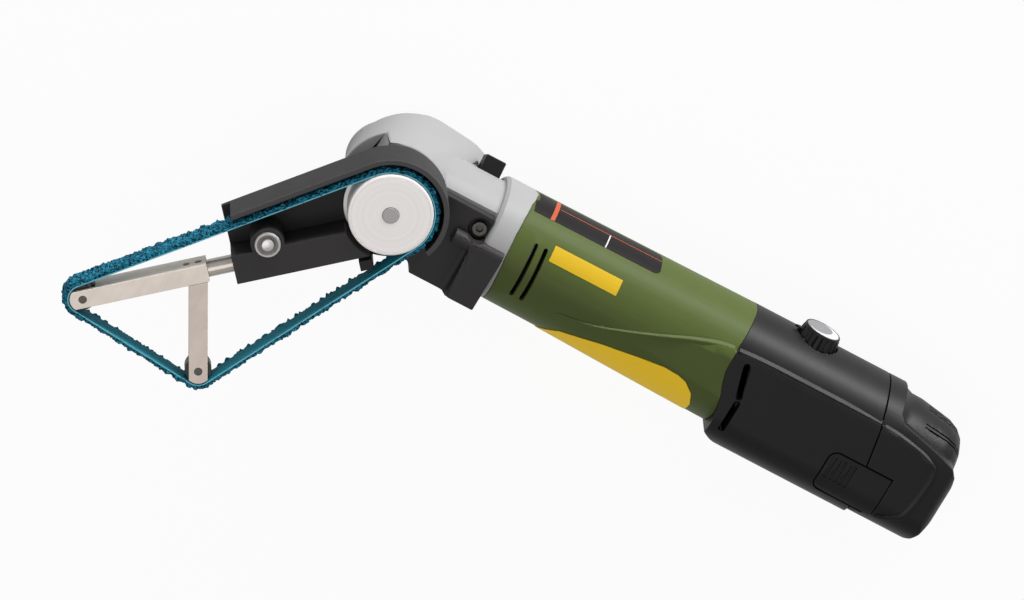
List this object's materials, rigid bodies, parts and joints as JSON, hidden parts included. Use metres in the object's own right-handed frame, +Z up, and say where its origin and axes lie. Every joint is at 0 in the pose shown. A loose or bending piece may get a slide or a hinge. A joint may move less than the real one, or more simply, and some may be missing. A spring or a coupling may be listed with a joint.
{
  "type": "pipe belt sander",
  "caption": "Cordless pipe belt sander: a narrow fleece belt runs round a drive pulley and the rollers of a sprung arm on a swinging head, with a straight handle and a slide-in battery.",
  "frame": {"origin": "on the spindle axis, which is also the axis that the head swings about, in the plane that the tool lies on with its pulley side up", "axes": "+X along the handle to the battery, +Y to the dial side of the handle, +Z up, away from the rest plane, along the spindle to the pulley"},
  "size_m": [0.3321, 0.1242, 0.06],
  "materials": {
    "housing_grey": "satin light grey paint on a die casting",
    "black_plastic": "fine-grained black moulding",
    "green_plastic": "satin olive green moulding",
    "yellow_rubber": "soft yellow grip",
    "carrier_black": "black coating",
    "guard_grey": "dark grey coating",
    "steel": "turned and polished",
    "dark_steel": "blackened",
    "spring_steel": "drawn wire",
    "arm_alloy": "satin warm silver",
    "pulley_alloy": "turned",
    "belt_fleece": "blue non-woven fleece",
    "roller_black": "turned black plastic",
    "copper_winding": "laminated core with enamelled copper",
    "board_green": "solder resist",
    "pot_blue": "moulded",
    "contact_brown": "moulded",
    "disc_grey": "printed disc",
    "terminal_brass": "bright",
    "cell_wrap": "shrink sleeve"
  },
  "bodies": {
    "handle": {"gear_housing": "housing_grey", "gear_cap": "housing_grey", "head_carrier": "carrier_black", "retaining_ring": "spring_steel", "near_bearing": "steel", "far_bearing": "steel", "motor_bearing": "steel", "handle_shell_near": "green_plastic", "handle_shell_far": "green_plastic", "handle_screws": "dark_steel", "grip_pad": "yellow_rubber", "rear_shell_near": "black_plastic", "rear_shell_far": "black_plastic", "rear_screws": "dark_steel", "motor_can": "dark_steel", "controller_board": "board_green", "dial_potentiometer": "pot_blue", "contact_block": "contact_brown"},
    "swing_head": {"belt_guard": "guard_grey", "rod_block": "guard_grey", "block_screws": "dark_steel", "latch_ring": "steel", "tension_spring": "spring_steel", "abrasive_belt": "belt_fleece"},
    "tension_arm": {"tension_rod": "steel", "arm_bar": "arm_alloy", "arm_strut": "arm_alloy", "set_screws": "dark_steel", "tip_axle": "steel", "strut_axle": "steel"},
    "tip_wheel": {"tip_roller": "roller_black"},
    "strut_wheel": {"strut_roller": "roller_black"},
    "drive": {"drive_spindle": "dark_steel", "drive_pulley": "pulley_alloy", "crown_gear": "steel"},
    "motor": {"motor_shaft": "steel", "bevel_pinion": "steel", "cooling_fan": "black_plastic", "motor_rotor": "copper_winding"},
    "speed_dial": {"dial_knob": "black_plastic", "dial_disc": "disc_grey"},
    "spindle_lock": {"lock_button": "black_plastic"},
    "arm_latch": {"latch_pin": "steel"},
    "clamp": {"clamp_screw": "dark_steel"},
    "battery": {"battery_case": "black_plastic", "battery_lid": "black_plastic", "battery_cells": "cell_wrap", "battery_terminals": "terminal_brass"},
    "battery_latch_a": {"battery_latch_near": "black_plastic"},
    "battery_latch_b": {"battery_latch_far": "black_plastic"}
  },
  "joints": [
    {"name": "head_swing", "type": "hinge", "parent": "handle", "child": "swing_head", "pos_m": [0, 0, 0.044], "axis": [0, 0, 1], "range_deg": [-42, 18]},
    {"name": "arm_slide", "type": "slide", "parent": "swing_head", "child": "tension_arm", "axis": [0.7431, 0.6691, 0], "range_m": [0, 0.006], "stiffness_N_per_m": 1200, "deforming": ["tension_spring", "abrasive_belt"]},
    {"name": "drive_spin", "type": "hinge", "parent": "handle", "child": "drive", "pos_m": [0, 0, 0.02], "axis": [0, 0, 1], "continuous": true},
    {"name": "motor_spin", "type": "hinge", "parent": "handle", "child": "motor", "pos_m": [0.06, 0, 0.0232], "axis": [1, 0, 0], "continuous": true},
    {"name": "tip_spin", "type": "hinge", "parent": "tension_arm", "child": "tip_wheel", "pos_m": [-0.08305, -0.08501, 0.0533], "axis": [0, 0, 1], "continuous": true},
    {"name": "strut_spin", "type": "hinge", "parent": "tension_arm", "child": "strut_wheel", "pos_m": [-0.03144, -0.08913, 0.0533], "axis": [0, 0, 1], "continuous": true},
    {"name": "dial_turn", "type": "hinge", "parent": "handle", "child": "speed_dial", "pos_m": [0.1715, 0.02, 0.0232], "axis": [0, 1, 0], "range_deg": [-135, 135]},
    {"name": "lock_press", "type": "slide", "parent": "handle", "child": "spindle_lock", "axis": [0, -0.9063, 0.4226], "range_m": [0, 0.0025], "stiffness_N_per_m": 800},
    {"name": "latch_press", "type": "slide", "parent": "swing_head", "child": "arm_latch", "axis": [0, 0, -1], "range_m": [0, 0.002], "stiffness_N_per_m": 800},
    {"name": "clamp_turn", "type": "hinge", "parent": "handle", "child": "clamp", "pos_m": [0.0352, 0.0058, 0.04], "axis": [0, 0, 1], "range_deg": [0, 180]},
    {"name": "battery_slide", "type": "slide", "parent": "handle", "child": "battery", "axis": [1, 0, 0], "range_m": [0, 0.06]},
    {"name": "battery_latch_a_press", "type": "slide", "parent": "battery", "child": "battery_latch_a", "axis": [0, 0, -1], "range_m": [0, 0.001], "stiffness_N_per_m": 1500},
    {"name": "battery_latch_b_press", "type": "slide", "parent": "battery", "child": "battery_latch_b", "axis": [0, 0, 1], "range_m": [0, 0.001], "stiffness_N_per_m": 1500}
  ],
  "couplings": [
    {"joint": "motor_spin", "follows": "drive_spin", "ratio": 2},
    {"joint": "tip_spin", "follows": "drive_spin", "ratio": 3.2},
    {"joint": "strut_spin", "follows": "drive_spin", "ratio": 3.2}
  ]
}
